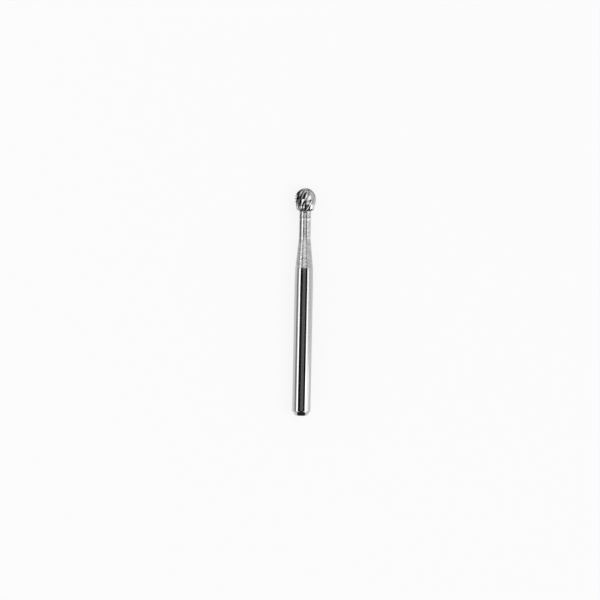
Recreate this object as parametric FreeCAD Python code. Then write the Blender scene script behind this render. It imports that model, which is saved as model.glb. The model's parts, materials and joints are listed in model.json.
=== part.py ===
"""Carbide burr with a round fluted head on a stepped steel shank, lying on a flat surface.

Millimetres, +Z up. The burr's axis runs along +Y with the head forward. It lies as it comes to
rest, on two blades of its head and on the rim of its shank. The origin is on the surface, under
the axis and halfway along it. The pieces are worked out upright first: axis on Z, tip up and the
shank's free end at zero.
"""
import math
import os

import FreeCAD
import Part

# Overall
overall_length = 19.70

# Polished shank and its free end
shank_dia = 1.60
end_chamfer_width = 0.26
end_chamfer_length = 0.38
end_edge_radius = 0.25
end_dome_height = 0.06
lead_in_length = 1.58
lead_in_drop = 0.03

# Ground taper and neck
taper_step = 0.02
taper_length = 2.55
taper_blend_radius = 6.0
neck_dia = 1.00
neck_length = 1.75

# Brazed butt joint between the steel and the carbide
braze_thickness = 0.05
braze_recess = 0.015

# Turned form of the carbide head
head_dia = 1.80
head_back_length = 0.97
head_base_dia = 1.44
head_base_slope = 0.07
stub_length = 0.52
stub_flare = 0.03
stub_fillet_radius = 0.06

# Blades, with the sizes that they have at the head's full diameter
blade_count = 8
spiral_per_mm = 34.0
rake_angle = 8.0
flute_depth = 0.13
gullet_width = 0.05
gullet_sag = 0.012
blade_back_bulge = 0.005
land_width = 0.09
tip_web_dia = 0.12

shank_radius = shank_dia / 2
neck_radius = neck_dia / 2
head_radius = head_dia / 2
head_base_radius = head_base_dia / 2
blade_spacing = 360.0 / blade_count

# Heights on the upright burr's axis
head_centre_z = overall_length - head_radius
head_base_z = head_centre_z - head_back_length
stub_top_z = head_base_z - head_base_slope
stub_end_z = stub_top_z - stub_length
neck_top_z = stub_end_z - braze_thickness
taper_top_z = neck_top_z - neck_length
taper_end_z = taper_top_z - taper_length
full_shank_z = taper_end_z - lead_in_length
rim_z = end_dome_height + end_chamfer_length

ORIGIN = FreeCAD.Vector(0, 0, 0)
UP = FreeCAD.Vector(0, 0, 1)


def profile_point(radius, z):
    """A point of a turned profile."""
    return FreeCAD.Vector(radius, 0, z)


def section_point(radius, angle, z):
    """A point of a cross section, with its angle in degrees, anticlockwise seen from the tip."""
    turn = math.radians(angle)
    return FreeCAD.Vector(radius * math.cos(turn), radius * math.sin(turn), z)


def line(start, end):
    return Part.LineSegment(start, end).toShape()


def arc(start, middle, end):
    return Part.Arc(start, middle, end).toShape()


def rounded_path(corners):
    """Edges through (point, radius) pairs, with a tangent arc at each corner that has a radius."""
    edges = []
    last = corners[0][0]
    for index in range(1, len(corners) - 1):
        corner, radius = corners[index]
        if radius == 0:
            edges.append(line(last, corner))
            last = corner
            continue
        back = (corners[index - 1][0] - corner).normalize()
        ahead = (corners[index + 1][0] - corner).normalize()
        half_angle = back.getAngle(ahead) / 2
        inward = (back + ahead).normalize()
        centre = corner + inward * (radius / math.sin(half_angle))
        start = corner + back * (radius / math.tan(half_angle))
        end = corner + ahead * (radius / math.tan(half_angle))
        edges.append(line(last, start))
        edges.append(arc(start, centre - inward * radius, end))
        last = end
    edges.append(line(last, corners[-1][0]))
    return edges


def turned(edges):
    """Solid turned from a profile whose first and last points are on the axis."""
    first = edges[0].Vertexes[0].Point
    last = edges[-1].Vertexes[-1].Point
    face = Part.Face(Part.Wire(edges + [line(last, first)]))
    return face.revolve(ORIGIN, UP, 360)


def steel_shank():
    """Domed and chamfered end, polished shank, ground taper and neck, turned from one bar."""
    end_radius = shank_radius - end_chamfer_width
    dome_radius = (end_radius ** 2 + end_dome_height ** 2) / (2 * end_dome_height)
    half_turn = math.asin(end_radius / dome_radius) / 2
    dome_middle = profile_point(
        dome_radius * math.sin(half_turn),
        dome_radius * (1 - math.cos(half_turn)),
    )
    dome_edge = profile_point(end_radius, end_dome_height)
    lead_in_radius = shank_radius - lead_in_drop
    path = rounded_path([
        (dome_edge, 0),
        (profile_point(shank_radius, rim_z), end_edge_radius),
        (profile_point(shank_radius, full_shank_z), 0),
        (profile_point(lead_in_radius, taper_end_z - taper_step), 0),
        (profile_point(lead_in_radius - taper_step, taper_end_z), 0),
        (profile_point(neck_radius, taper_top_z), taper_blend_radius),
        (profile_point(neck_radius, neck_top_z), 0),
        (profile_point(0, neck_top_z), 0),
    ])
    return turned([arc(ORIGIN, dome_middle, dome_edge)] + path)


def braze_joint():
    """Film of silver solder between the two butted faces, a little below the neck's surface."""
    base = FreeCAD.Vector(0, 0, neck_top_z)
    return Part.makeCylinder(neck_radius - braze_recess, braze_thickness, base)


def blade_radius(z):
    """Radius that the blades reach: half a ball in front of its centre, a slower curve behind."""
    rise = z - head_centre_z
    if rise >= 0:
        return math.sqrt(head_radius ** 2 - rise ** 2)
    drop = head_radius - head_base_radius
    back_curve = (head_back_length ** 2 + drop ** 2) / (2 * drop)
    return head_radius - back_curve + math.sqrt(back_curve ** 2 - rise ** 2)


def head_blank():
    """The head as turned, before its flutes are ground, with the stub that meets the braze."""
    crown = profile_point(0, overall_length)
    widest = profile_point(head_radius, head_centre_z)
    base = profile_point(head_base_radius, head_base_z)
    front_middle_z = head_centre_z + head_radius * math.sin(math.pi / 4)
    back_middle_z = head_centre_z - head_back_length / 2
    front = arc(crown, profile_point(blade_radius(front_middle_z), front_middle_z), widest)
    back = arc(widest, profile_point(blade_radius(back_middle_z), back_middle_z), base)
    stub = rounded_path([
        (base, 0),
        (profile_point(neck_radius + stub_flare, stub_top_z), stub_fillet_radius),
        (profile_point(neck_radius, stub_end_z), 0),
        (profile_point(0, stub_end_z), 0),
    ])
    return turned([front, back] + stub)


def flute_section(z, reach):
    """Outline of one flute across the axis, where the blades reach a given radius.

    The rake face of one blade, the gullet and the curved back of the next blade, up to its land.
    All of it shrinks with the radius, so that the blades meet at the tip.
    """
    share = reach / head_radius
    start = spiral_per_mm * (z - head_centre_z)
    lean = math.degrees(flute_depth * math.tan(math.radians(rake_angle)) / head_radius)
    gullet_start = start + lean
    gullet_end = gullet_start + math.degrees(gullet_width / head_radius)
    back_end = start + blade_spacing - math.degrees(land_width / head_radius)
    floor = reach - flute_depth * share
    middle = (floor + reach) / 2 + blade_back_bulge * share

    edge = section_point(reach, start, z)
    rake_foot = section_point(floor, gullet_start, z)
    gullet = section_point(floor - gullet_sag * share, (gullet_start + gullet_end) / 2, z)
    back_foot = section_point(floor, gullet_end, z)
    back_middle = section_point(middle, (gullet_end + back_end) / 2, z)
    land_edge = section_point(reach, back_end, z)

    # The rake and the back run on past the blades' reach, so that the flute is open outside
    rake_exit = edge + (edge - rake_foot) * 0.8
    back_centre = Part.Circle(back_foot, back_middle, land_edge).Center
    back_exit = back_centre + FreeCAD.Rotation(UP, 4).multVec(land_edge - back_centre)
    cover = section_point(reach * 1.3, start + blade_spacing / 2, z)
    return Part.Wire([
        line(rake_exit, rake_foot),
        arc(rake_foot, gullet, back_foot),
        arc(back_foot, back_middle, back_exit),
        arc(back_exit, cover, rake_exit),
    ])


def flute_cutter():
    """One flute along its spiral, from the web at the tip out through the head's base."""
    front_steps = 12
    back_steps = 5
    tip_angle = math.acos(tip_web_dia / head_dia)
    sections = []
    for index in range(front_steps):
        angle = tip_angle * (1 - index / front_steps)
        z = head_centre_z + head_radius * math.sin(angle)
        sections.append(flute_section(z, blade_radius(z)))
    for index in range(back_steps + 1):
        z = head_centre_z - head_back_length * index / back_steps
        sections.append(flute_section(z, blade_radius(z)))
    sections.append(flute_section(stub_top_z - head_base_slope, head_base_radius))
    return Part.makeLoft(sections, True)


def carbide_head():
    """The turned blank with its flutes ground round it."""
    cutter = flute_cutter()
    cutters = []
    for index in range(blade_count):
        flute = cutter.copy()
        flute.rotate(ORIGIN, UP, index * blade_spacing)
        cutters.append(flute)
    return head_blank().cut(cutters).Solids[0]


def axis_height(roll):
    """Height of the head's axis over a flat surface when the burr is rolled by an angle.

    A blade touches with an edge of its land. The lowest one is found along the spirals.
    """
    steps = 60
    land_turn = math.degrees(land_width / head_radius)
    height = 0
    for index in range(1, steps):
        z = head_base_z + (overall_length - head_base_z) * index / steps
        for offset in (0, -land_turn):
            turn = roll + offset + spiral_per_mm * (z - head_centre_z)
            off_centre = (turn + blade_spacing / 2) % blade_spacing - blade_spacing / 2
            height = max(height, blade_radius(z) * math.cos(math.radians(off_centre)))
    return height


def lay_down(shape):
    """Lays an upright piece on the surface at Z = 0, in the roll where the burr lies lowest.

    A shank thicker than the head would lie flat, with its head clear of the surface.
    """
    rolls = [blade_spacing * index / 400 for index in range(400)]
    roll = min(rolls, key=axis_height)
    head_lift = max(0, axis_height(roll) - shank_radius)
    dip = math.asin(head_lift / (head_centre_z - rim_z))
    end_height = shank_radius * math.cos(dip) - rim_z * math.sin(dip)
    lying = shape.copy()
    lying.rotate(ORIGIN, UP, 90 + roll)
    lying.rotate(ORIGIN, FreeCAD.Vector(1, 0, 0), -90 + math.degrees(dip))
    lying.translate(FreeCAD.Vector(0, -overall_length / 2 * math.cos(dip), end_height))
    return lying


os.makedirs("parts", exist_ok=True)
for piece in (carbide_head, braze_joint, steel_shank):
    lay_down(piece()).exportStep("parts/" + piece.__name__ + ".step")
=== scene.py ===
"""Carbide burr: a fluted head, its braze ring and its ground and polished steel shank.

Metres, +Z up. The burr lies along +Y on the surface Z = 0 and is seen from above.
"""
import json
import math

import bpy
import numpy as np
from mathutils import Matrix, Vector


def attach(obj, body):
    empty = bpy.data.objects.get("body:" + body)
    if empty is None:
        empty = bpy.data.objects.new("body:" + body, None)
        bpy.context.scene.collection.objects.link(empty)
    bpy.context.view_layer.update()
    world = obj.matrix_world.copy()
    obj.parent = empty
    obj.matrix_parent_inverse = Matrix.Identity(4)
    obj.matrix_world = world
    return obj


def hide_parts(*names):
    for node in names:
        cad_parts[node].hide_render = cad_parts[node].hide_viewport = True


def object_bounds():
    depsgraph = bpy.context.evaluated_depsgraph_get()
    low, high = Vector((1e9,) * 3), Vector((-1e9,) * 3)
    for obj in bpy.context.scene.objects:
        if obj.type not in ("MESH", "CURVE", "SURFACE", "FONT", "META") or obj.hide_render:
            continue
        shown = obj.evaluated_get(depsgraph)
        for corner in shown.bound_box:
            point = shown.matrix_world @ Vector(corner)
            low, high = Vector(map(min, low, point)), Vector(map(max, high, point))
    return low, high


bl_info = {
    "name": "Carbide Burr",
    "version": (1, 0, 0),
    "blender": (4, 5, 0),
    "location": "View3D > Sidebar > Burr",
    "description": "Builds a round carbide burr with its finish and a plain studio",
    "category": "Mesh",
}

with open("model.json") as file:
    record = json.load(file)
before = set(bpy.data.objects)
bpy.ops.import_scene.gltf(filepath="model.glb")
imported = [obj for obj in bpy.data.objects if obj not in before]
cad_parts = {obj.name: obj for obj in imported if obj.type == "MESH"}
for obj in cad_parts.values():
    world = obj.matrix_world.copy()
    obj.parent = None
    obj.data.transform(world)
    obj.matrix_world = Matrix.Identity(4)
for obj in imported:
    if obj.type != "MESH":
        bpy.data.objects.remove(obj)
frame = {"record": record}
cad_box = [list(corner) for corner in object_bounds()]
shank_mount = next(m for m in frame["record"]["mounts"] if m["name"] == "shank")

MM = 0.001
MICRON = 0.000001

# Points of each curve, and columns round the turned pieces
ROUNDING_POINTS = 14
DOME_POINTS = 12
BRAZE_POINTS = 9
TURNED_COLUMNS = 160
RAKE_POINTS, GULLET_POINTS, BLADE_BACK_POINTS, LAND_POINTS = 9, 13, 25, 6
HEAD_FRONT_POINTS, HEAD_BACK_POINTS, HEAD_BASE_POINTS = 74, 46, 12

# Distance of the rings that hold the shading of an edge, and start of the ground finish before
# the taper's end
SUPPORT_GAP = 0.02 * MM
STEP_MARGIN = 0.01 * MM

# Roundings of the step and of the stub's flare
STEP_ROUNDING = 0.004 * MM
FLARE_ROUNDING = 0.5 * MM

# The studio, in metres
FLOOR_HALF_WIDTH = 1.5
FLOOR_CLEARANCE = 2 * MICRON
SKY_DISTANCE = 0.30
CARD_SPACING = 0.002
CARD_COLUMNS = 8
STRIP_DISTANCE = 0.25
STRIP_WIDTH = 0.080
STRIP_FULL_LENGTH = 0.30
SCREEN_FOOT = 0.0008

# Cards of the sky with their turns and slopes in degrees and their grey. Each covers the last.
SKY_CARDS = (
    ("low_light", (-70, 100), (-82, -10.7), 1.8),
    ("low_flag", (-56, 51), (-62, -36), 0.0),
    ("low_left_light", (-52, -23), (-40, -20), 1.4),
    ("low_middle_flag", (-31, 4), (-33.5, -11.5), 0.0),
    ("low_right_light", (16, 100), (-50, -43.5), 1.8),
    ("low_right_flag", (29, 100), (-29, -22), 0.0),
    ("high_light", (-19, 40), (10, 42), 1.8),
    ("high_left_light", (-30, -16), (10, 65), 1.8),
    ("right_wall", (46, 100), (-21.5, -7.1), 1.6),
    ("upper_left_flag", (-38, -18), (-6, 9.9), 0.1),
    ("upper_right_flag", (22, 44), (-6, 9.9), 0.05),
    ("neck_light", (-14, 18), (-6.5, -2.0), 1.8),
)

# Nearer cards, the same way, with their distance last
NEAR_CARDS = (
    ("left_screen", (-100, -37), (10, 22.5), 0.0, 0.240),
    ("high_left_screen", (-69, -23.5), (12.5, 83), 0.03, 0.238),
    ("low_left_screen", (-70, 10), (-26.6, -15.7), 0.26, 0.236),
    ("left_flag", (-45, -12), (-23.5, 2.3), 0.01, 0.050),
    ("right_flag", (20, 43), (-23.5, 2.3), 0.01, 0.050),
    ("overhead", (-13, 21), (-23.5, 1.9), 0.16, 0.049),
)

# Sheets over the floor, painted shade seen only in the metal's reflections, in metres from left
# to right and from the shank to the head, with their grey and their height
FLOOR_SHEETS = (
    ("floor_painted_shade", (-0.1500, -0.0033), (-0.3000, 0.0130), 0.3, 10 * MICRON),
    ("taper_painted_shade", (-0.0070, -0.0012), (0.0034, 0.0054), 0.65, 20 * MICRON),
    ("neck_painted_shade", (-0.0033, -0.0012), (0.0054, 0.0076), 0.1, 20 * MICRON),
    ("head_painted_shade", (-0.0150, -0.0002), (0.0079, 0.0104), 0.0, 20 * MICRON),
    ("tip_painted_shade", (0.0003, 0.0139), (0.0100, 0.0262), 0.45, 20 * MICRON),
    ("tip_line_painted_shade", (-0.0008, 0.0003), (0.0132, 0.0180), 0.0, 20 * MICRON),
    ("tip_dark_painted_shade", (-0.0011, -0.0004), (0.0104, 0.0121), 0.15, 20 * MICRON),
)

# Upright screens behind the shank's end: place along, half the width, lowest and highest rise,
# all in metres, and grey
END_SCREENS = (
    ("end_screen_gap", -0.0115, 0.0016, (0.0, 0.012), 0.02),
    ("end_wide_screen_gap", -0.0116, 0.005, (0.004, 0.009), 0.02),
)

# Strip lamps: turn in degrees, start and end along the burr in metres, share of the set power
STRIPS = (
    ("left_strip", -52, (-0.150, 0.150), 1.0),
    ("right_strip", 54, (-0.150, -0.008), 0.7),
)


def length(name, description, millimetres):
    """A length that a user may change, given in millimetres and kept in metres."""
    return bpy.props.FloatProperty(
        name=name, description=description, default=millimetres * MM, precision=6, unit="LENGTH",
    )


def angle(name, description, degrees):
    return bpy.props.FloatProperty(
        name=name, description=description, default=math.radians(degrees), subtype="ANGLE",
    )


def colour(name, description, grey):
    return bpy.props.FloatVectorProperty(
        name=name, description=description, default=grey, size=3, min=0, max=1, subtype="COLOR",
    )


def share(name, description, value):
    return bpy.props.FloatProperty(
        name=name, description=description, default=value, min=0, subtype="FACTOR",
    )


class BURR_PG_shank(bpy.types.PropertyGroup):
    """Sizes of the steel shank, taper and neck."""
    overall: length("Overall length", "Whole burr, from the shank's end to the head's tip", 19.70)
    diameter: length("Shank diameter", "Polished cylinder that the chuck grips", 1.60)
    chamfer_width: length("Chamfer width", "Chamfer at the free end, across", 0.26)
    chamfer_length: length("Chamfer length", "Chamfer at the free end, along the axis", 0.38)
    edge_radius: length("Edge radius", "Rounding where the chamfer meets the cylinder", 0.25)
    dome: length("End dome", "Rise of the domed end face", 0.06)
    dome_edge: length("Dome edge radius", "Rounding between the end face and the chamfer", 0.05)
    lead_in: length("Lead-in length", "Slight taper at the front of the polished part", 1.58)
    lead_in_drop: length("Lead-in drop", "Fall in radius over the lead-in", 0.03)
    step: length("Step", "Small step from the polished to the ground surface", 0.02)
    taper: length("Taper length", "Ground taper", 2.55)
    blend: length("Blend radius", "Hollow blend between the neck and the taper", 6.0)
    neck_diameter: length("Neck diameter", "Slim neck behind the head", 1.00)
    neck: length("Neck length", "Steel part of the neck", 1.75)
    braze: length("Braze thickness", "Film of silver solder", 0.05)
    braze_recess: length("Braze recess", "Depth of the film's edge below the neck", 0.015)


class BURR_PG_head(bpy.types.PropertyGroup):
    """Sizes of the carbide head and its blades, at the head's full diameter."""
    diameter: length("Head diameter", "Widest diameter over the blades", 1.80)
    back: length("Back length", "From the widest line back to the base", 0.97)
    base_diameter: length("Base diameter", "Diameter over the blades at the base", 1.44)
    base_slope: length("Base slope", "Length of the cone that closes the base", 0.07)
    stub: length("Stub length", "Carbide stub behind the base", 0.52)
    flare: length("Stub flare", "Growth of the stub's radius towards the head", 0.03)
    fillet: length("Stub fillet", "Fillet between the stub and the base", 0.06)
    blades: bpy.props.IntProperty(
        name="Blades", description="Cutting blades round the head", default=8, min=3,
    )
    spiral: angle("Spiral", "Turn of the blades over one millimetre of the axis", 34.0)
    roll: angle("Roll", "Roll in which the burr comes to rest", 27.11)
    rake: angle("Rake", "Lean of the cutting face back from a radial line", 8.0)
    depth: length("Flute depth", "From the blades' reach down to the gullet", 0.13)
    gullet: length("Gullet width", "Width of the rounded gullet", 0.05)
    sag: length("Gullet sag", "Roundness of the gullet's floor", 0.012)
    bulge: length("Blade back bulge", "Roundness of the back of a blade", 0.005)
    land: length("Land width", "Narrow land behind each cutting edge", 0.09)


class BURR_PG_finish(bpy.types.PropertyGroup):
    """Colours and polish of the three metals."""
    steel: colour("Steel colour", "Stainless steel", (0.53, 0.53, 0.54))
    steel_polish: share("Polished roughness", "Roughness of the mirror-polished shank", 0.06)
    steel_ground: share("Ground roughness", "Roughness of the ground taper and neck", 0.16)
    carbide: colour("Carbide colour", "Ground tungsten carbide", (0.53, 0.53, 0.54))
    carbide_ground: share("Carbide roughness", "Roughness of the blades", 0.05)
    solder: colour("Solder colour", "Silver solder", (0.18, 0.18, 0.175))


class BURR_PG_stage(bpy.types.PropertyGroup):
    """Camera and studio."""
    elevation: angle("Elevation", "Camera's lean towards the head, off square to the axis", 5.0)
    turn: angle("Turn", "Camera's turn round the burr's axis, off straight above", -18.4)
    lean: angle("Lean", "Lean of the burr to the right in the picture", 1.18)
    lens: bpy.props.FloatProperty(
        name="Lens", description="Focal length", default=200.0, unit="CAMERA",
    )
    field: length("Field", "Width of the picture at the burr", 51.7)
    right: length("Right", "Distance of the burr's middle right of the picture's centre", 0.297)
    below: length("Below", "Distance of the burr's middle below the picture's centre", 0.197)
    world: share("World strength", "Strength of the white surroundings", 0.85)
    strip: share("Strip power", "Power of each strip lamp, in watts", 0.12)
    shown_white: share("Shown white", "Share of the floor that shows as plain white", 0.8)


class Signal:
    """One output of a node. Arithmetic on it adds Math nodes to the same tree."""

    def __init__(self, graph, socket):
        self.graph = graph
        self.socket = socket

    def join(self, operation, first, second):
        return self.graph.node("ShaderNodeMath", {"operation": operation}, {0: first, 1: second})

    def __add__(self, other):
        return self.join("ADD", self, other)

    def __radd__(self, other):
        return self.join("ADD", other, self)

    def __sub__(self, other):
        return self.join("SUBTRACT", self, other)

    def __rsub__(self, other):
        return self.join("SUBTRACT", other, self)

    def __mul__(self, other):
        return self.join("MULTIPLY", self, other)

    def __rmul__(self, other):
        return self.join("MULTIPLY", other, self)


class Graph:
    """The nodes of one material."""

    def __init__(self, name):
        self.material = bpy.data.materials.new(name)
        self.material.use_nodes = True
        self.tree = self.material.node_tree
        self.tree.nodes.clear()

    def node(self, kind, settings=None, inputs=None, output=0):
        """Adds a node with its settings first, then its inputs, and gives one of its outputs."""
        made = self.tree.nodes.new(kind)
        for name, value in (settings or {}).items():
            setattr(made, name, value)
        for name, value in (inputs or {}).items():
            if isinstance(value, Signal):
                self.tree.links.new(value.socket, made.inputs[name])
            else:
                made.inputs[name].default_value = value
        return Signal(self, made.outputs[output])

    def metal(self, colour, roughness, normal):
        """The finished material of a bare metal."""
        return self.finish(self.node("ShaderNodeBsdfPrincipled", inputs={
            "Base Color": colour, "Metallic": 1.0, "Roughness": roughness, "Normal": normal,
        }))

    def finish(self, surface):
        """Ends the tree in a surface and gives the material."""
        end = self.tree.nodes.new("ShaderNodeOutputMaterial")
        self.tree.links.new(surface.socket, end.inputs["Surface"])
        return self.material

    def position(self):
        """Object coordinates as three signals, in metres."""
        point = self.node("ShaderNodeTexCoord", output="Object")
        return [
            self.node("ShaderNodeSeparateXYZ", inputs={"Vector": point}, output=axis)
            for axis in "XYZ"
        ]

    def vector(self, x, y, z):
        return self.node("ShaderNodeCombineXYZ", inputs={"X": x, "Y": y, "Z": z})

    def noise(self, vector, scale, detail):
        """Noise from 0 to 1 with a mean of a half, at features per metre."""
        return self.node(
            "ShaderNodeTexNoise", inputs={"Vector": vector, "Scale": scale, "Detail": detail},
        )

    def between(self, value, low, high):
        """0 below low, 1 above high and a smooth step from one to the other."""
        return self.node(
            "ShaderNodeMapRange",
            {"interpolation_type": "SMOOTHSTEP"},
            {"Value": value, "From Min": low, "From Max": high},
        )

    def band(self, value, start, full, fade, end):
        """1 from full to fade, with a smooth rise from start and a smooth fall to end."""
        return self.between(value, start, full) - self.between(value, fade, end)

    def bump(self, height, depth):
        """A bump whose height signal of 1 stands for a depth in metres."""
        return self.node(
            "ShaderNodeBump", inputs={"Height": height, "Distance": depth, "Strength": 1.0},
        )

    def mix(self, factor, first, second):
        """A blend of two colours, which are inputs 6 and 7 of a Mix node and give its output 2."""
        return self.node(
            "ShaderNodeMix",
            {"data_type": "RGBA"},
            {"Factor": factor, 6: first, 7: second},
            output=2,
        )


def grey_of(values, factor):
    """A colour property as a shader's colour, made darker or lighter by a factor."""
    return (values[0] * factor, values[1] * factor, values[2] * factor, 1.0)


class Axis:
    """The burr's axis, from the shank's free end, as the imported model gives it."""

    def __init__(self, overall):
        self.along = -Vector(shank_mount["axis"]).normalized()
        self.side = Vector((1, 0, 0))
        self.up = self.side.cross(self.along)
        mount = Vector(shank_mount["pos_m"])
        start_y = -overall / 2 * self.along.y
        self.start = mount - self.along * ((mount.y - start_y) / self.along.y)

    def point(self, distance):
        return self.start + self.along * distance

    def place(self, radius, turn, distance):
        """Points at a radius and a turn round the axis, from straight up towards +X."""
        parts = (
            (radius * np.sin(turn), self.side),
            (radius * np.cos(turn), self.up),
            (distance, self.along),
        )
        points = np.array(self.start)
        for amount, direction in parts:
            points = points + amount[..., None] * np.array(direction)
        return points


def arc_points(start, middle, end, count):
    """Points along the circle through three points of a plane, from the first to the last.

    The centre is where the two chords' perpendicular bisectors meet.
    """
    start, middle, end = (np.array(p, float) for p in (start, middle, end))
    rows = 2 * np.array([middle - start, end - start])
    sums = np.array([middle @ middle - start @ start, end @ end - start @ start])
    centre = np.linalg.solve(rows, sums)
    radius = np.linalg.norm(start - centre)
    turns = [math.atan2(*(p - centre)[::-1]) for p in (start, middle, end)]
    sweep = (turns[2] - turns[0]) % math.tau
    if (turns[1] - turns[0]) % math.tau > sweep:
        sweep -= math.tau
    steps = turns[0] + sweep * np.linspace(0, 1, count)
    return centre + radius * np.stack([np.cos(steps), np.sin(steps)], -1)


def rounded(corners):
    """Outline through (radius, distance, rounding) corners, with a tangent arc at each rounding.

    The arc touches both runs at rounding / tan(half the corner's angle) from the corner.
    """
    outline = [np.array([corners[0][:2]])]
    for before, here, after in zip(corners, corners[1:], corners[2:]):
        corner = np.array(here[:2])
        if not here[2]:
            outline.append(corner[None])
            continue
        back = np.array(before[:2]) - corner
        ahead = np.array(after[:2]) - corner
        back /= np.linalg.norm(back)
        ahead /= np.linalg.norm(ahead)
        half = math.acos(np.clip(back @ ahead, -1, 1)) / 2
        inward = (back + ahead) / np.linalg.norm(back + ahead)
        middle = corner + inward * (here[2] / math.sin(half) - here[2])
        reach = here[2] / math.tan(half)
        start, end = corner + back * reach, corner + ahead * reach
        outline.append(arc_points(start, middle, end, ROUNDING_POINTS))
    outline.append(np.array([corners[-1][:2]]))
    return np.concatenate(outline)


def supported(outline):
    """The outline with a ring added close to both ends of every long straight run.

    They keep the smooth shading of a rounding from bleeding along the straight surface.
    """
    kept = [outline[:1]]
    for start, end in zip(outline, outline[1:]):
        run = np.linalg.norm(end - start)
        if run > 5 * SUPPORT_GAP:
            step = (end - start) / run * SUPPORT_GAP
            kept.append(np.array([start + step, end - step]))
        kept.append(end[None])
    return np.concatenate(kept)


def ring_surface(name, rings, first_pole, last_pole, uv=None):
    """Closed surface over rings of points, each end closed by a fan to a pole.

    rings is an array of rows, columns and 3. The columns run round and meet.
    """
    rows, columns = rings.shape[:2]
    points = np.concatenate([rings.reshape(-1, 3), [first_pole, last_pole]])
    row = np.arange(rows - 1)[:, None] * columns
    here = np.arange(columns)
    ahead = (here + 1) % columns
    quads = np.stack([row + here, row + ahead, row + columns + ahead, row + columns + here], -1)
    last = (rows - 1) * columns
    first_fan = np.stack([ahead, here, np.full(columns, rows * columns)], -1)
    last_fan = np.stack([last + here, last + ahead, np.full(columns, rows * columns + 1)], -1)
    mesh = bpy.data.meshes.new(name)
    faces = quads.reshape(-1, 4).tolist() + first_fan.tolist() + last_fan.tolist()
    mesh.from_pydata(points.tolist(), [], faces)
    if uv is not None:
        corners = np.empty(len(mesh.loops), np.int64)
        mesh.loops.foreach_get("vertex_index", corners)
        around, along = uv
        table = np.stack(np.broadcast_arrays(around[None, :], along[:, None]), -1).reshape(-1, 2)
        table = np.concatenate([table, [[0.0, along[0]], [0.0, along[-1]]]])
        layer = mesh.uv_layers.new(name="Grinding")
        layer.data.foreach_set("uv", table[corners].ravel())
    piece = bpy.data.objects.new(name, mesh)
    bpy.context.scene.collection.objects.link(piece)
    return piece


def smooth(piece, limit):
    """Smooth shading, with an edge kept sharp where the faces meet at more than a limit."""
    piece.data.shade_smooth()
    piece.data.set_sharp_from_angle(angle=math.radians(limit))


def fit_out(piece, node):
    """The piece stands for a CAD node, which it hides, and rides with the root body."""
    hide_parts(node)
    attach(piece, "root")


def shank_heights(shank, head):
    """Distances from the shank's free end to each change of form."""
    base = shank.overall - head.diameter / 2 - head.back
    stub_end = base - head.base_slope - head.stub
    neck_top = stub_end - shank.braze
    taper_top = neck_top - shank.neck
    taper_end = taper_top - shank.taper
    return {
        "centre": shank.overall - head.diameter / 2,
        "base": base,
        "stub_top": base - head.base_slope,
        "stub_end": stub_end,
        "neck_top": neck_top,
        "taper_top": taper_top,
        "taper_end": taper_end,
        "full": taper_end - shank.lead_in,
    }


def blade_section(head):
    """Outline round one blade spacing, as a radius and a turn, at the head's full diameter.

    A straight rake face down from the cutting edge, an arc for the gullet, a wider arc for the
    back of the next blade, and its land on the circle of the blades' reach.
    """
    reach = head.diameter / 2
    floor = reach - head.depth
    spacing = math.tau / head.blades
    lean = head.depth * math.tan(head.rake) / reach
    gullet_end = lean + head.gullet / reach
    land_start = spacing - head.land / reach

    def spot(radius, turn):
        return radius * math.cos(turn), radius * math.sin(turn)

    edge, foot = np.array(spot(reach, 0)), np.array(spot(floor, lean))
    rake = edge + (foot - edge) * np.linspace(0, 1, RAKE_POINTS)[:, None]
    gullet_middle = spot(floor - head.sag, (lean + gullet_end) / 2)
    gullet = arc_points(foot, gullet_middle, spot(floor, gullet_end), GULLET_POINTS)
    back_middle = spot((floor + reach) / 2 + head.bulge, (gullet_end + land_start) / 2)
    back = arc_points(
        spot(floor, gullet_end), back_middle, spot(reach, land_start), BLADE_BACK_POINTS,
    )
    land_turns = np.linspace(land_start, spacing, LAND_POINTS)
    land = reach * np.stack([np.cos(land_turns), np.sin(land_turns)], -1)
    outline = np.concatenate([rake[:-1], gullet[:-1], back[:-1], land[:-1]])
    return np.hypot(*outline.T), np.arctan2(outline[:, 1], outline[:, 0])


def head_outline(shank, head):
    """Outline of the turned blank from the tip to the butt, and the blades' reach on it.

    A quarter circle in front, a wide arc behind the widest line, a cone for the base and the
    stub, which gets nine tenths of its flare in its last quarter.
    """
    at = shank_heights(shank, head)
    reach = head.diameter / 2
    base = head.base_diameter / 2
    quadrant = np.linspace(math.pi / 2, 0, HEAD_FRONT_POINTS)[1:]
    front = np.stack([reach * np.cos(quadrant), at["centre"] + reach * np.sin(quadrant)], -1)
    drop = reach - base
    curve = (head.back ** 2 + drop ** 2) / (2 * drop)
    fall = np.linspace(0, head.back, HEAD_BACK_POINTS)[1:]
    back = np.stack([reach - curve + np.sqrt(curve ** 2 - fall ** 2), at["centre"] - fall], -1)
    neck = shank.neck_diameter / 2
    stub = rounded([
        (base, at["base"], 0),
        (neck + head.flare, at["stub_top"], head.fillet),
        (neck + 0.1 * head.flare, at["stub_end"] + 0.75 * head.stub, FLARE_ROUNDING),
        (neck, at["stub_end"], 0),
    ])
    cone = back[-1] + (stub[1] - back[-1]) * np.linspace(0, 1, HEAD_BASE_POINTS)[1:-1, None]
    outline = np.concatenate([front, back, cone, stub[1:]])
    blades = np.where(outline[:, 1] < at["base"] + 1e-9, base, outline[:, 0])
    return outline, blades


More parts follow.
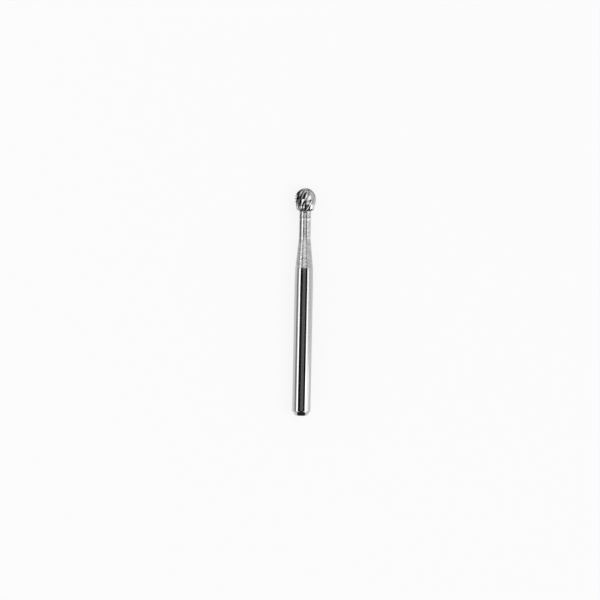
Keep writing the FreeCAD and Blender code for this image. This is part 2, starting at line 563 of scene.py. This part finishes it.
def build_head(shank, head):
    """Grid over the blank's outline and round all the blades.

    Each ring is the blade section shrunk to the blades' reach there and turned by the spiral,
    cut off where it would stand proud of the blank. The roll is counted from straight down.
    """
    axis = Axis(shank.overall)
    outline, blades = head_outline(shank, head)
    radii, turns = blade_section(head)
    spacing = math.tau / head.blades
    round_radii = np.tile(radii, head.blades)
    round_turns = (turns[None, :] + spacing * np.arange(head.blades)[:, None]).ravel()
    centre = shank.overall - head.diameter / 2
    spiral = head.spiral / MM * (outline[:, 1] - centre)
    radius = blades[:, None] * round_radii / (head.diameter / 2)
    radius = np.minimum(radius, outline[:, :1])
    turn = round_turns + spiral[:, None] + head.roll - math.pi
    distance = np.broadcast_to(outline[:, 1:], radius.shape)
    rings = axis.place(radius, turn, distance)
    run = np.cumsum(np.hypot(*np.diff(outline, axis=0, prepend=outline[:1]).T))
    uv = round_turns * head.diameter / 2 / MM, run / MM
    piece = ring_surface(
        "burr_head", rings, axis.point(shank.overall), axis.point(outline[-1, 1]), uv,
    )
    # Depth into the flutes, which darkens the gullets as painted shade and makes them rougher
    depth = 1 - radius / outline[:, :1]
    flute = (depth / depth.max()).ravel()
    mark = piece.data.attributes.new("flute", "FLOAT", "POINT")
    mark.data.foreach_set("value", np.concatenate([flute, [0, 0]]))
    smooth(piece, 24)
    return piece


def shank_outline(shank, head):
    """Outline of the turned steel from the middle of its end face to the butt at the neck.

    The end face is an arc, which halfway out has risen about a quarter of the dome's height.
    """
    at = shank_heights(shank, head)
    full = shank.diameter / 2
    face = full - shank.chamfer_width
    dome = arc_points(
        (0, 0),
        (face / 2, shank.dome / 4 * (1 - shank.dome ** 2 / face ** 2)),
        (face, shank.dome),
        DOME_POINTS,
    )
    lead = full - shank.lead_in_drop
    neck = shank.neck_diameter / 2
    turned = rounded([
        (*dome[-2], 0),
        (face, shank.dome, shank.dome_edge),
        (full, shank.dome + shank.chamfer_length, shank.edge_radius),
        (full, at["full"], 0),
        (lead, at["taper_end"] - shank.step, STEP_ROUNDING),
        (lead - shank.step, at["taper_end"], STEP_ROUNDING),
        (neck, at["taper_top"], shank.blend),
        (neck, at["neck_top"], 0),
    ])
    return supported(np.concatenate([dome[1:-2], turned]))


def finish_slots(outline, shank, head):
    """Material slot of each face of the shank: 1 from the step to the butt and 0 behind it."""
    step_y = shank_heights(shank, head)["taper_end"] - STEP_MARGIN
    ground_rows = (outline[:-1, 1] > step_y).astype(np.int32)
    end_fans = np.array([0, 1], np.int32)
    return np.repeat(np.concatenate([ground_rows, end_fans]), TURNED_COLUMNS)


def turned_piece(name, shank, outline):
    """Surface turned from an outline of radii and distances, with a fan at each end."""
    axis = Axis(shank.overall)
    turn = np.arange(TURNED_COLUMNS) * math.tau / TURNED_COLUMNS
    radius = np.repeat(outline[:, :1], TURNED_COLUMNS, 1)
    distance = np.repeat(outline[:, 1:], TURNED_COLUMNS, 1)
    rings = axis.place(radius, turn[None, :] * np.ones_like(radius), distance)
    return ring_surface(name, rings, axis.point(outline[0, 1]), axis.point(outline[-1, 1]))


def polished_steel(finish):
    """Mirror polish with faint wear: fine rings left by the wheel and a few dull patches."""
    graph = Graph("polished steel")
    x, y, z = graph.position()
    dull = graph.noise(graph.vector(x * 500, y * 260, z * 500), 1.0, 3.0)
    rings = graph.noise(graph.vector(x * 300, y * 42000, z * 300), 1.0, 2.0)
    gripped = graph.band(y, -5.2 * MM, -1.0 * MM, -1.0 * MM, 2.0 * MM)
    rough = finish.steel_polish + 0.05 * graph.between(dull, 0.5, 0.75) + 0.05 * gripped
    shade = graph.mix(
        graph.between(rings, 0.3, 0.7), grey_of(finish.steel, 0.97), grey_of(finish.steel, 1.03),
    )
    return graph.metal(shade, rough, graph.bump(rings, 0.02 * MICRON))


def ground_steel(finish):
    """Ground surface: fine and coarse rings cut by the wheel, each broken up a little round it.

    Two narrow rings are painted pale as highlights, and the neck is painted a little paler as
    sheen.
    """
    graph = Graph("ground steel")
    x, y, z = graph.position()
    pale = (0.92, 0.92, 0.92, 1.0)
    paler = (0.95, 0.95, 0.95, 1.0)
    fine = graph.noise(graph.vector(x * 700, y * 60000, z * 700), 1.0, 3.0)
    coarse = graph.noise(graph.vector(x * 1500, y * 5500, z * 1500), 1.0, 2.0)
    shade = graph.mix(
        graph.between(coarse, 0.3, 0.7), grey_of(finish.steel, 0.86), grey_of(finish.steel, 1.08),
    )
    # Painted highlights: two narrow pale rings, at the taper's top and on the neck short of the
    # braze
    painted_highlight_back = graph.band(y, 5.46 * MM, 5.54 * MM, 5.60 * MM, 5.68 * MM)
    painted_highlight_front = graph.band(y, 7.06 * MM, 7.12 * MM, 7.24 * MM, 7.30 * MM)
    shade = graph.mix((painted_highlight_back + painted_highlight_front) * 0.4, shade, pale)
    # Painted sheen: the neck and the taper's top painted a tenth of the way towards near white
    neck = graph.between(y, 4.6 * MM, 6.4 * MM)
    return graph.metal(
        graph.mix(neck * 0.1, shade, paler),
        finish.steel_ground + 0.12 * fine,
        graph.bump(fine + 9.0 * coarse, 1.3 * MICRON),
    )


def ground_carbide(finish):
    """Sintered carbide: bright ground faces with grinding lines along the flutes, and gullets
    painted dark as shade and a little rougher.

    A painted shadow, near black, lies in the corner under the head, and the stub behind it is
    turned.
    """
    graph = Graph("ground carbide")
    uv = graph.node("ShaderNodeUVMap", {"uv_map": "Grinding"})
    across = graph.node("ShaderNodeSeparateXYZ", inputs={"Vector": uv}, output="X")
    along = graph.node("ShaderNodeSeparateXYZ", inputs={"Vector": uv}, output="Y")
    flute = graph.node("ShaderNodeAttribute", {"attribute_name": "flute"}, output="Fac")
    x, y, z = graph.position()
    grain = graph.noise(graph.vector(x, y, z), 90000, 3.0)
    lines = graph.noise(graph.vector(across * 45, along * 1.6, 0.0), 1.0, 3.0)
    gullet = graph.between(flute, 0.45, 0.95)
    bright = graph.mix(
        graph.between(lines, 0.25, 0.75),
        grey_of(finish.carbide, 0.85),
        grey_of(finish.carbide, 1.12),
    )
    # Painted shade: the gullets darkened towards near black
    shade = graph.mix(gullet * 0.85, bright, grey_of(finish.carbide, 0.12))
    # Painted shadow: a near-black band in the corner under the head
    painted_shadow_under_head = graph.band(y, 7.87 * MM, 7.91 * MM, 7.99 * MM, 8.02 * MM)
    stub = 1.0 - graph.between(y, 7.84 * MM, 7.94 * MM)
    turned = graph.noise(graph.vector(x * 900, y * 50000, z * 900), 1.0, 3.0)
    return graph.metal(
        graph.mix(painted_shadow_under_head, shade, grey_of(finish.carbide, 0.04)),
        finish.carbide_ground + 0.05 * lines + 0.08 * gullet + 0.12 * stub,
        graph.bump(lines + 0.25 * grain + 12.0 * stub * turned, 0.2 * MICRON),
    )


def dull_solder(finish):
    """Silver solder, dark grey and uneven."""
    graph = Graph("silver solder")
    patches = graph.noise(graph.vector(*graph.position()), 6000, 3.0)
    shade = graph.mix(patches, grey_of(finish.solder, 0.6), grey_of(finish.solder, 1.25))
    return graph.metal(shade, 0.35 + 0.2 * patches, graph.bump(patches, 3 * MICRON))


class BURR_OT_head(bpy.types.Operator):
    """Builds the fluted carbide head and its stub"""
    bl_idname = "burr.head"
    bl_label = "Carbide Head"

    def execute(self, context):
        scene = context.scene
        piece = build_head(scene.burr_shank, scene.burr_head)
        piece.data.materials.append(ground_carbide(scene.burr_finish))
        fit_out(piece, "carbide_head")
        return {"FINISHED"}


class BURR_OT_braze(bpy.types.Operator):
    """Builds the thin ring of silver solder between the head's stub and the neck"""
    bl_idname = "burr.braze"
    bl_label = "Braze Ring"

    def execute(self, context):
        scene = context.scene
        shank, head = scene.burr_shank, scene.burr_head
        at = shank_heights(shank, head)
        across = np.linspace(0, 1, BRAZE_POINTS)
        neck = shank.neck_diameter / 2
        # A hollow parabola, full depth in the middle and half of it at the faces
        radius = neck - shank.braze_recess * (1 - 0.5 * (2 * across - 1) ** 2)
        outline = np.stack([radius, at["neck_top"] + across * shank.braze], -1)
        piece = turned_piece("braze_ring", shank, outline)
        smooth(piece, 30)
        piece.data.materials.append(dull_solder(scene.burr_finish))
        fit_out(piece, "braze_joint")
        return {"FINISHED"}


class BURR_OT_shank(bpy.types.Operator):
    """Builds the polished shank with its ground taper and neck"""
    bl_idname = "burr.shank"
    bl_label = "Steel Shank"

    def execute(self, context):
        scene = context.scene
        shank, head = scene.burr_shank, scene.burr_head
        outline = shank_outline(shank, head)
        piece = turned_piece("burr_shank", shank, outline)
        smooth(piece, 20)
        piece.data.materials.append(polished_steel(scene.burr_finish))
        piece.data.materials.append(ground_steel(scene.burr_finish))
        piece.data.polygons.foreach_set("material_index", finish_slots(outline, shank, head))
        fit_out(piece, "steel_shank")
        return {"FINISHED"}


def stage_mesh(name, points, faces, material):
    """A sheet that belongs to the studio, from its points and faces."""
    mesh = bpy.data.meshes.new(name)
    mesh.from_pydata([tuple(point) for point in points], [], faces)
    mesh.materials.append(material)
    sheet = bpy.data.objects.new(name, mesh)
    bpy.context.scene.collection.objects.link(sheet)
    return sheet


def reflected_card(name, points, faces, grey):
    """A sheet of plain light that shows in metal and nowhere else, and that lights nothing."""
    card = stage_mesh(name, points, faces, card_paint(name, grey))
    card.visible_camera = False
    card.visible_diffuse = False
    card.visible_shadow = False


def rectangle(across, along, height):
    """Corners of a level rectangle between two places across and two along."""
    left, right = across
    near, far = along
    return [(left, near, height), (right, near, height), (right, far, height), (left, far, height)]


def floor_paint(shown_white):
    """White floor that takes the burr's shadow.

    The camera, metal and glass see a share of it as plain white, which lightens the shadow.
    """
    graph = Graph("white floor")
    paper = graph.node("ShaderNodeBsdfPrincipled", inputs={
        "Base Color": (0.90, 0.90, 0.90, 1), "Roughness": 0.9, "Specular IOR Level": 0.2,
    })
    plain = graph.node("ShaderNodeEmission", inputs={"Color": (1, 1, 1, 1), "Strength": 1.0})
    path = [
        graph.node("ShaderNodeLightPath", output=kind)
        for kind in ("Is Camera Ray", "Is Glossy Ray", "Is Transmission Ray")
    ]
    seen = path[0].join("MAXIMUM", path[0], path[0].join("MAXIMUM", path[1], path[2]))
    return graph.finish(graph.node("ShaderNodeMixShader", inputs={
        0: seen * shown_white, 1: paper, 2: plain,
    }))


def card_paint(name, grey):
    """Plain light of one grey."""
    graph = Graph(name)
    return graph.finish(graph.node("ShaderNodeEmission", inputs={
        "Color": (grey, grey, grey, 1), "Strength": 1.0,
    }))


class Sky:
    """Places round the burr, by a turn about its axis from the camera and a slope to the head."""

    def __init__(self, camera_turn):
        self.camera_turn = camera_turn

    def place(self, turn_degrees, slope_degrees, distance):
        turn = self.camera_turn + math.radians(turn_degrees)
        run = distance * math.tan(math.radians(slope_degrees))
        return Vector((distance * math.sin(turn), run, distance * math.cos(turn)))

    def card(self, name, turns, slopes, grey, distance):
        """A curved card between two turns and two slopes, at a distance from the axis."""
        turn_steps = np.linspace(*turns, CARD_COLUMNS)
        points = [self.place(turn, slope, distance) for turn in turn_steps for slope in slopes]
        faces = [(2 * i, 2 * i + 1, 2 * i + 3, 2 * i + 2) for i in range(CARD_COLUMNS - 1)]
        reflected_card(name, points, faces, grey)

    def screen(self, name, along, half_width, rises, grey):
        """A small upright card across the axis, between two rises over a foot."""
        up = self.place(0, 0, 1)
        right = Vector((up.z, 0, -up.x))
        foot = Vector((0, along, SCREEN_FOOT))
        low, high = (foot + up * rise for rise in rises)
        side = right * half_width
        corners = [low - side, low + side, high + side, high - side]
        reflected_card(name, corners, [(0, 1, 2, 3)], grey)

    def strip(self, name, turn_degrees, run, watts):
        """A long soft lamp beside the burr, along it over a run and facing it.

        The watts are those of a strip of the full length.
        """
        start, end = run
        data = bpy.data.lights.new(name, "AREA")
        data.shape = "RECTANGLE"
        data.size, data.size_y = STRIP_WIDTH, end - start
        data.energy = watts * (end - start) / STRIP_FULL_LENGTH
        lamp = bpy.data.objects.new(name, data)
        place = self.place(turn_degrees, 0, STRIP_DISTANCE)
        away = place.normalized()
        along = Vector((0, 1, 0))
        lamp.matrix_world = Matrix((along.cross(away), along, away)).transposed().to_4x4()
        lamp.location = place + along * (start + end) / 2
        bpy.context.scene.collection.objects.link(lamp)


def add_camera(stage, shank):
    """Camera above the burr, leaning to the head, so that the head is up in the picture."""
    axis = Axis(shank.overall)
    middle = axis.point(shank.overall / 2)
    toward = (
        axis.side * math.sin(stage.turn) * math.cos(stage.elevation)
        + axis.up * math.cos(stage.turn) * math.cos(stage.elevation)
        + axis.along * math.sin(stage.elevation)
    )
    burr_up = (axis.along - toward * axis.along.dot(toward)).normalized()
    burr_right = burr_up.cross(toward)
    up = burr_up * math.cos(stage.lean) - burr_right * math.sin(stage.lean)
    right = up.cross(toward)
    target = middle - right * stage.right + up * stage.below
    data = bpy.data.cameras.new("camera")
    data.sensor_width = 36
    data.lens = stage.lens
    distance = stage.field * data.lens / data.sensor_width
    data.clip_start, data.clip_end = distance * 0.01, distance * 100
    camera = bpy.data.objects.new("camera", data)
    camera.matrix_world = Matrix((right, up, toward)).transposed().to_4x4()
    camera.location = target + toward * distance
    bpy.context.scene.collection.objects.link(camera)
    bpy.context.scene.camera = camera


def add_world(strength):
    """White surroundings of one strength."""
    world = bpy.data.worlds.new("surroundings")
    world.use_nodes = True
    background = world.node_tree.nodes["Background"]
    background.inputs["Color"].default_value = (1, 1, 1, 1)
    background.inputs["Strength"].default_value = strength
    bpy.context.scene.world = world


class BURR_OT_stage(bpy.types.Operator):
    """Builds the white floor, the lamps, the cards and the camera"""
    bl_idname = "burr.stage"
    bl_label = "Studio"

    def execute(self, context):
        scene = context.scene
        stage = scene.burr_stage
        one_face = [(0, 1, 2, 3)]
        floor_side = (-FLOOR_HALF_WIDTH, FLOOR_HALF_WIDTH)
        floor = rectangle(floor_side, floor_side, cad_box[0][2] - FLOOR_CLEARANCE)
        stage_mesh("floor", floor, one_face, floor_paint(stage.shown_white))
        add_world(stage.world)
        sky = Sky(stage.turn)
        for order, (name, turns, slopes, grey) in enumerate(SKY_CARDS, 1):
            sky.card(name, turns, slopes, grey, SKY_DISTANCE - order * CARD_SPACING)
        for name, across, along, grey, height in FLOOR_SHEETS:
            reflected_card(name, rectangle(across, along, height), one_face, grey)
        for name, turns, slopes, grey, distance in NEAR_CARDS:
            sky.card(name, turns, slopes, grey, distance)
        for name, along, half_width, rises, grey in END_SCREENS:
            sky.screen(name, along, half_width, rises, grey)
        for name, turn, run, part in STRIPS:
            sky.strip(name, turn, run, part * stage.strip)
        scene.view_settings.view_transform = "Standard"
        add_camera(stage, scene.burr_shank)
        return {"FINISHED"}


class BURR_PT_panel(bpy.types.Panel):
    """Lists the burr's pieces and sizes"""
    bl_idname = "BURR_PT_panel"
    bl_label = "Carbide Burr"
    bl_space_type = "VIEW_3D"
    bl_region_type = "UI"
    bl_category = "Burr"

    def draw(self, context):
        layout = self.layout
        for group, operators in PANEL_ORDER.items():
            settings = getattr(context.scene, group)
            box = layout.box()
            for name in settings.bl_rna.properties.keys():
                if name not in ("rna_type", "name"):
                    box.prop(settings, name)
            for operator in operators:
                box.operator(operator)


PANEL_ORDER = {
    "burr_head": ["burr.head"],
    "burr_shank": ["burr.braze", "burr.shank"],
    "burr_finish": [],
    "burr_stage": ["burr.stage"],
}
GROUPS = {
    "burr_head": BURR_PG_head,
    "burr_shank": BURR_PG_shank,
    "burr_finish": BURR_PG_finish,
    "burr_stage": BURR_PG_stage,
}
CLASSES = (
    BURR_PG_shank, BURR_PG_head, BURR_PG_finish, BURR_PG_stage,
    BURR_OT_head, BURR_OT_braze, BURR_OT_shank, BURR_OT_stage, BURR_PT_panel,
)


def register():
    for cls in CLASSES:
        bpy.utils.register_class(cls)
    for name, group in GROUPS.items():
        setattr(bpy.types.Scene, name, bpy.props.PointerProperty(type=group))


def unregister():
    for name in GROUPS:
        delattr(bpy.types.Scene, name)
    for cls in reversed(CLASSES):
        bpy.utils.unregister_class(cls)


def main():
    register()
    bpy.ops.burr.head()
    bpy.ops.burr.braze()
    bpy.ops.burr.shank()
    bpy.ops.burr.stage()


if __name__ == "__main__":
    main()
